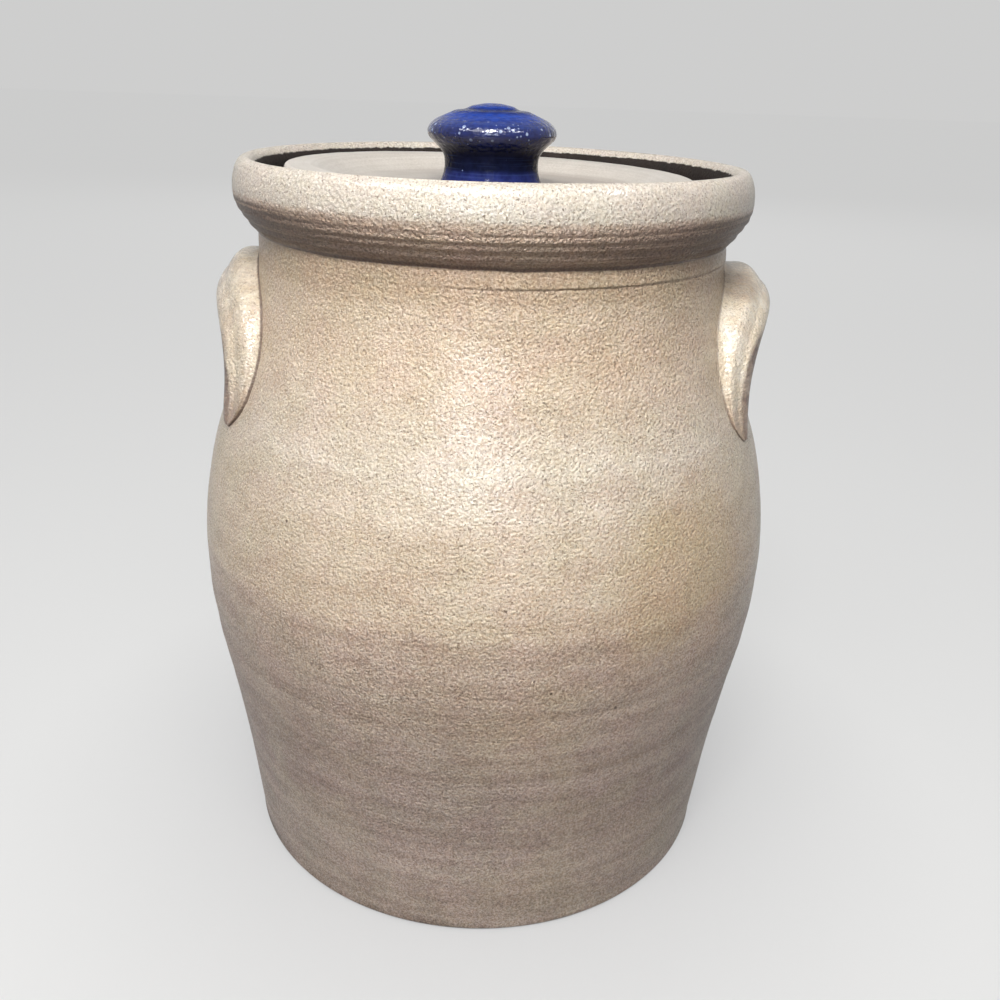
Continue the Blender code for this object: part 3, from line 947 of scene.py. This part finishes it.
def rim_colour(nodes, z, slope):
    """Neck, painted shade in the groove under its step and in the crease, brown slope with pale streaks of
    painted light and painted shade to the sides, and bright roll.
    """
    level = nodes.math("ADD", z, nodes.swing(0.0016, 38.0))
    colour = nodes.ramp(nodes.remap(level, RIM_BAND_START, RIM_BAND_END), RIM_BANDS)
    x = nodes.axis(X)
    # Painted shade: the slope darker towards the jar's left and right sides
    side_shade = nodes.remap(nodes.math("ABSOLUTE", x), 0.015, 0.075, 0.0, 0.92)
    colour = nodes.blend(nodes.math("MULTIPLY", slope, side_shade), colour, (0.115, 0.080, 0.062))
    # Pale streaks on the slope: painted light on the crests of the rib lines, fading towards the sides
    streak = nodes.noise(1.0, 2.0, 0.6, nodes.stretch((9.0, 9.0, 760.0)))
    streak = nodes.remap(streak, 0.50, 0.64, 0.0, 0.75)
    front_light_share = nodes.math("SUBTRACT", 1.0, nodes.math("MULTIPLY", side_shade, 0.7))
    streak = nodes.math("MULTIPLY", nodes.math("MULTIPLY", streak, front_light_share), slope)
    colour = nodes.blend(streak, colour, (0.60, 0.47, 0.37))
    # Painted shade along the groove under the neck's step, stronger to the right of the front
    off = nodes.math("ABSOLUTE", nodes.math("SUBTRACT", level, NECK_GROOVE_HEIGHT))
    step_shade = nodes.remap(off, 0.0001, 0.0005, 1.0, 0.0)
    step_shade = nodes.math("MULTIPLY", step_shade, nodes.remap(x, -0.035, 0.03, 0.0, 0.34))
    return nodes.blend(step_shade, colour, (0.16, 0.10, 0.07))


def jar_glaze():
    """Salted stoneware: bands of colour up the jar, a brown slope under the rim, dark slip inside."""
    nodes = Surface("jar_salt_glaze")
    z = nodes.axis(Z)
    level = nodes.math("ADD", z, nodes.swing(0.012, 9.0, 3.0, 0.55))
    level = nodes.math("ADD", level, nodes.swing(0.003, 38.0))
    slope = nodes.remap(z, 0.2468, 0.2476)
    slope = nodes.math("MULTIPLY", slope, nodes.remap(z, 0.2586, 0.2600, 1.0, 0.0))
    on_neck = nodes.remap(z, 0.2345, 0.2375)
    colour = nodes.blend(on_neck, wall_colour(nodes, level), rim_colour(nodes, z, slope))

    inward = nodes.math("ADD", nodes.attribute("inward_mm"), nodes.swing(2.2, 260.0, 3.0, 0.65))
    slip = nodes.remap(inward, SLIP_START_MM - SLIP_EDGE_MM, SLIP_START_MM + SLIP_EDGE_MM)
    coat = nodes.remap(level, 0.10, 0.14, 0.22, 0.48)
    coat = nodes.math("ADD", coat, nodes.total((slope, -0.28), (slip, -0.48)))
    coat = nodes.math("MAXIMUM", coat, 0.0)
    rougher = nodes.remap(z, 0.245, 0.249, 1.0, 1.5)
    colour = glaze_surface(
        nodes,
        colour,
        coat,
        coat_roughness=0.12,
        grain_share=nodes.remap(level, 0.13, 0.145, 0.62, 0.50),
        pit_share=0.60,
        relief_depth=0.00070,
        ripple_depth=0.00020,
        evenness=nodes.math("MULTIPLY", rougher, nodes.remap(z, 0.256, 0.262, 1.0, 0.5)),
    )
    slip_brown = nodes.blend(nodes.noise(90.0, 3.0, 0.6), (0.006, 0.004, 0.003), (0.026, 0.014, 0.009))
    nodes.set("Base Color", nodes.blend(slip, colour, slip_brown))
    rough = nodes.remap(nodes.noise(30.0, 3.0, 0.6), 0.35, 0.7, 0.60, 0.46)
    nodes.set("Roughness", nodes.math("ADD", rough, nodes.math("MULTIPLY", slip, 0.30)))
    return nodes.material


def handle_glaze(name, warm, joint_share, joint_shadows):
    """The jar's glaze, thicker and glossier on the handle, thin and dark at the joint, bare and painted
    with shade along the lower edge, and painted with shadow at the top of the joint.
    """
    nodes = Surface(name)
    drift = nodes.remap(nodes.noise(26.0, 3.0, 0.55), 0.35, 0.65)
    colour = nodes.blend(drift, warm, (0.64, 0.545, 0.44))
    colour = nodes.shade(0.25, colour, nodes.remap(nodes.noise(190.0, 2.0, 0.55), 0.40, 0.62))
    uneven = nodes.remap(nodes.noise(300.0), 0.3, 0.6, 0.6, 1.0)
    # Painted shade under the lip and past the ridge near the tips, on an edge that is also bare
    edge = nodes.math("MULTIPLY", nodes.attribute("shaded_bare_lower_edge"), uneven)
    colour = nodes.blend(nodes.math("MULTIPLY", edge, 0.95), colour, (0.10, 0.06, 0.05))
    tip = nodes.remap(nodes.axis(Z), 0.184, 0.202, 0.6, 0.0)
    colour = nodes.blend(tip, colour, (0.42, 0.30, 0.24))
    # Painted shadow at the top of the joint
    for place, radius, share, tone in joint_shadows:
        colour = nodes.blend(nodes.patch(place, radius, share), colour, tone)
    from_wall = nodes.math("ADD", nodes.attribute("from_wall_mm"), nodes.swing(0.5, 500.0))
    colour = glaze_surface(
        nodes,
        colour,
        coat=nodes.remap(from_wall, 0.6, 2.8, 0.0, 0.80),
        coat_roughness=0.13,
        grain_share=0.24,
        pit_share=0.40,
        relief_depth=0.00075,
        ripple_depth=0.00038,
    )
    joint = nodes.remap(from_wall, 0.25, 0.65, joint_share, 0.0)
    nodes.set("Base Color", nodes.blend(joint, colour, (0.11, 0.065, 0.045)))
    nodes.set("Roughness", nodes.remap(nodes.noise(40.0, 2.0, 0.5), 0.35, 0.65, 0.42, 0.32))
    return nodes.material


def lid_glaze():
    """Pale beige satin glaze with faint turning marks and a lighter margin."""
    nodes = Surface("lid_beige_glaze")
    flat = nodes.add("ShaderNodeVectorMath", operation="LENGTH")
    nodes.put(flat.inputs[0], nodes.stretch((1.0, 1.0, 0.0)))
    radius = flat.outputs["Value"]
    cloud = nodes.remap(nodes.noise(45.0, 3.0, 0.55), 0.35, 0.65)
    colour = nodes.blend(cloud, (0.530, 0.485, 0.430), (0.575, 0.530, 0.475))
    spin = nodes.add("ShaderNodeCombineXYZ")
    nodes.put(spin.inputs[0], nodes.math("MULTIPLY", radius, 900.0))
    nodes.put(spin.inputs[1], nodes.math("MULTIPLY", nodes.axis(X), 8.0))
    turning = nodes.noise(1.0, 2.0, 0.6, spin.outputs[0])
    colour = nodes.shade(0.10, colour, nodes.remap(turning, 0.35, 0.65))
    grain = nodes.noise(1300.0, 2.0, 0.6)
    colour = nodes.shade(0.16, colour, nodes.remap(grain, 0.35, 0.65))
    margin_start = LID_RADIUS - LID_MARGIN
    margin = nodes.remap(radius, margin_start, margin_start + 0.0012, 0.0, 0.22)
    colour = nodes.blend(margin, colour, (0.64, 0.60, 0.54))
    colour = nodes.blend(nodes.spots(300.0, 0.00030, 0.10, 0.4), colour, (0.24, 0.17, 0.11))
    colour = nodes.blend(nodes.spots(170.0, 0.00045, 0.06, 0.5), colour, (0.74, 0.70, 0.64))
    # Painted shade on the lower part of the lid's edge, in the gap inside the jar's rim
    gap_shade = nodes.remap(nodes.axis(Z), SEAT_HEIGHT + 0.0010, SEAT_HEIGHT + 0.0040, 0.75, 0.0)
    nodes.set("Base Color", nodes.blend(gap_shade, colour, (0.16, 0.11, 0.08)))
    relief = nodes.math("ADD", grain, nodes.math("MULTIPLY", turning, 0.6))
    normal = nodes.bump(relief, 0.00012)
    nodes.set("Normal", normal)
    nodes.set("Coat Normal", normal)
    nodes.set("Roughness", nodes.remap(cloud, 0.0, 1.0, 0.46, 0.38))
    nodes.set("Coat Weight", 0.20)
    nodes.set("Coat Roughness", 0.20)
    return nodes.material


def cobalt_glaze():
    """Glossy cobalt glaze: nearly black round the waist, partly painted shade under the overhang, bright on
    top, painted shade in the groove, pale specks partly painted glints, blistered and turned.
    """
    nodes = Surface("knob_cobalt_glaze")
    share = nodes.remap(nodes.axis(Z), LID_DISH_HEIGHT, LID_DISH_HEIGHT + KNOB_HEIGHT)
    level = nodes.math("ADD", share, nodes.swing(0.05, 120.0, 2.0, 0.55))
    colour = nodes.ramp(level, KNOB_BANDS)
    mottle = nodes.remap(nodes.noise(420.0, 3.0, 0.6), 0.38, 0.62)
    colour = nodes.shade(0.20, colour, mottle)
    streak = nodes.noise(1.0, 2.0, 0.6, nodes.stretch((30.0, 30.0, 1500.0)))
    colour = nodes.blend(nodes.remap(streak, 0.56, 0.68, 0.0, 0.08), colour, (0.09, 0.16, 0.42))
    # Pale specks round the widest part: partly pale worn blisters, partly painted glints on them
    worn_and_glint_band = nodes.math("MULTIPLY", nodes.remap(share, 0.56, 0.64), nodes.remap(share, 0.74, 0.82, 1.0, 0.0))
    pale_specks_and_glints = nodes.math("MULTIPLY", nodes.spots(700.0, 0.00075, 0.50, 0.60), worn_and_glint_band)
    colour = nodes.blend(pale_specks_and_glints, colour, (0.42, 0.52, 0.74))
    colour = nodes.blend(nodes.spots(520.0, 0.00032, 0.16, 0.55), colour, (0.30, 0.38, 0.60))
    nodes.set("Base Color", colour)
    relief = nodes.total((nodes.domes(620.0, 1.0), 0.6), (streak, 0.2), (mottle, 0.15))
    nodes.set("Normal", nodes.bump(relief, 0.00036))
    nodes.set("Coat Normal", nodes.bump(relief, 0.00042))
    nodes.set("Roughness", nodes.remap(mottle, 0.0, 1.0, 0.08, 0.18))
    nodes.set("Specular IOR Level", 0.04)
    coat = nodes.math("MULTIPLY", nodes.remap(share, 0.40, 0.62), nodes.remap(share, 0.76, 0.85, 1.0, 0.05))
    nodes.set("Coat Weight", coat)
    nodes.set("Coat Roughness", 0.06)
    return nodes.material


# Stage

FLOOR_HALF_SIZE = 12.0
FLOOR_TONE = (0.575, 0.575, 0.571)
FLOOR_SHADOW_TONE = (0.30, 0.30, 0.31)
FLOOR_SHADOW_REACH = 0.12
HORIZON_TONE = (0.617, 0.617, 0.614)
SKY_COLOUR = (0.95, 0.96, 1.0)
LIGHT_TARGET = Vector((0.0, 0.0, 0.15))

# Area lights: name, azimuth and elevation in degrees with the camera's side at 0, distance, width,
# height, watts, colour, and the kinds of rays that don't see it
LIGHTS = (
    ("key", -8, 55, 0.85, 0.75, 0.36, 4.5, (1.0, 0.985, 0.97), ()),
    ("window", -8, 50, 0.90, 0.24, 0.11, 4.4, (1.0, 0.99, 0.98), ()),
    ("left_fill", -45, 45, 1.3, 0.8, 0.5, 0.8, (0.99, 0.99, 1.0), ()),
    ("middle_glint", -8, 51, 0.9, 0.16, 0.13, 8.0, (0.94, 0.97, 1.0), ("diffuse",)),
    ("left_glint", -58, 51, 0.9, 0.16, 0.13, 2.2, (0.94, 0.97, 1.0), ("diffuse",)),
    ("right_glint", 56, 51, 0.9, 0.16, 0.13, 2.2, (0.94, 0.97, 1.0), ("diffuse",)),
    ("back_fill", 178, 28, 2.4, 1.6, 1.0, 8.0, (0.98, 0.99, 1.0), ("camera", "glossy")),
    ("front_fill", -5, 9, 1.2, 0.3, 0.4, 3.5, (1.0, 0.99, 0.98), ("glossy",)),
    ("front_strip", -6, 21, 0.9, 0.42, 0.05, 2.2, (0.86, 0.94, 1.0), ("diffuse",)),
)


def soft_light(name, azimuth, elevation, distance, width, height, watts, colour, hidden_from):
    lamp = bpy.data.lights.new(name, "AREA")
    lamp.shape = "RECTANGLE"
    lamp.size = width
    lamp.size_y = height
    lamp.energy = watts
    lamp.color = colour
    item = bpy.data.objects.new(name, lamp)
    bpy.context.collection.objects.link(item)
    turn = math.radians(azimuth)
    rise = math.radians(elevation)
    way = Vector((math.sin(turn) * math.cos(rise), -math.cos(turn) * math.cos(rise), math.sin(rise)))
    position = LIGHT_TARGET + way * distance
    facing = (LIGHT_TARGET - position).to_track_quat("-Z", "Y")
    item.matrix_world = Matrix.Translation(position) @ facing.to_matrix().to_4x4()
    for kind in hidden_from:
        setattr(item, f"visible_{kind}", False)


def floor_material():
    """Pale floor that keeps the jar's shadow and stays pale far behind it."""
    nodes = Surface("pale_floor")
    seen = nodes.seen()
    shade = nodes.add("ShaderNodeAmbientOcclusion")
    shade.inputs["Distance"].default_value = FLOOR_SHADOW_REACH
    nodes.set("Base Color", nodes.blend(seen, (0.08, 0.08, 0.083), (0.22, 0.22, 0.218)))
    nodes.set("Roughness", 0.9)
    nodes.set("Specular IOR Level", 0.0)
    nodes.set("Emission Color", nodes.blend(shade.outputs["AO"], FLOOR_SHADOW_TONE, FLOOR_TONE))
    nodes.set("Emission Strength", seen)
    return nodes.material


def make_floor():
    mesh = bpy.data.meshes.new("floor")
    size = FLOOR_HALF_SIZE
    corners = [(-size, -size, 0), (size, -size, 0), (size, size, 0), (-size, size, 0)]
    mesh.from_pydata(corners, [], [(0, 1, 2, 3)])
    floor = bpy.data.objects.new("floor", mesh)
    bpy.context.collection.objects.link(floor)
    mesh.materials.append(floor_material())


def make_world():
    """Soft light from above; the camera and reflections see the same pale tone as the floor."""
    world = bpy.data.worlds.new("studio")
    bpy.context.scene.world = world
    world.use_nodes = True
    world.node_tree.nodes.clear()
    nodes = Nodes(world.node_tree, "Generated")
    rise = nodes.remap(nodes.axis(Z), -0.1, 0.9, 0.01, 0.185)
    lean = nodes.remap(nodes.axis(X), -1.0, 1.0, 1.25, 0.85)
    lit = nodes.add("ShaderNodeBackground")
    nodes.put(lit.inputs["Color"], SKY_COLOUR)
    nodes.put(lit.inputs["Strength"], nodes.math("MULTIPLY", rise, lean))
    shown = nodes.add("ShaderNodeBackground")
    nodes.put(shown.inputs["Color"], HORIZON_TONE)
    mix = nodes.add("ShaderNodeMixShader")
    nodes.put(mix.inputs[0], nodes.seen())
    nodes.put(mix.inputs[1], lit.outputs[0])
    nodes.put(mix.inputs[2], shown.outputs[0])
    out = nodes.add("ShaderNodeOutputWorld")
    nodes.put(out.inputs["Surface"], mix.outputs[0])


# The photograph's camera, found from the jar's silhouette and the rim's ellipses
CAMERA_PITCH = math.radians(22.91)
CAMERA_YAW = math.radians(0.91)
CAMERA_ROLL = math.radians(1.99)
CAMERA_PLACE = Vector((0.0, -0.3837, 0.2988))
CAMERA_LENS_MM = 36.0
CAMERA_SENSOR_MM = 36.0
CAMERA_NEAR = 0.01


def make_camera():
    flat = math.cos(CAMERA_PITCH)
    ahead = Vector((math.sin(CAMERA_YAW) * flat, math.cos(CAMERA_YAW) * flat, -math.sin(CAMERA_PITCH)))
    level = Vector((math.cos(CAMERA_YAW), -math.sin(CAMERA_YAW), 0.0))
    upright = level.cross(ahead)
    across = math.cos(CAMERA_ROLL) * level + math.sin(CAMERA_ROLL) * upright
    up = -math.sin(CAMERA_ROLL) * level + math.cos(CAMERA_ROLL) * upright
    matrix = Matrix.Identity(4)
    for row in range(3):
        matrix[row][0] = across[row]
        matrix[row][1] = up[row]
        matrix[row][2] = -ahead[row]
    matrix.translation = CAMERA_PLACE
    data = bpy.data.cameras.new("photo_camera")
    data.lens = CAMERA_LENS_MM
    data.sensor_width = CAMERA_SENSOR_MM
    data.clip_start = CAMERA_NEAR
    camera = bpy.data.objects.new("photo_camera", data)
    bpy.context.collection.objects.link(camera)
    camera.matrix_world = matrix
    bpy.context.scene.camera = camera


# The scene

def dress(piece, body, node, material):
    piece.data.materials.append(material)
    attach(piece, body)
    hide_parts(node)


make_camera()
make_floor()
make_world()
for light in LIGHTS:
    soft_light(*light)
bpy.context.scene.view_settings.view_transform = "Standard"

left = make_handle("left_handle_skin", LEFT_EAR)
right = make_handle("right_handle_skin", RIGHT_EAR)
dress(make_jar(), "crock", "crock_body", jar_glaze())
left_glaze = handle_glaze("left_handle_glaze", (0.60, 0.530, 0.445), 0.85, LEFT_JOINT_SHADOWS)
dress(left, "crock", "left_handle", left_glaze)
# The right handle's colour is paler than the left's: painted light, making up for the dimmer light on its
# side
right_glaze_painted_lighter = handle_glaze("right_handle_glaze", (0.82, 0.73, 0.61), 0.55, RIGHT_JOINT_SHADOWS)
dress(right, "crock", "right_handle", right_glaze_painted_lighter)
dress(make_lid(), "lid_with_knob", "lid", lid_glaze())
dress(make_knob(), "lid_with_knob", "lid_knob", cobalt_glaze())
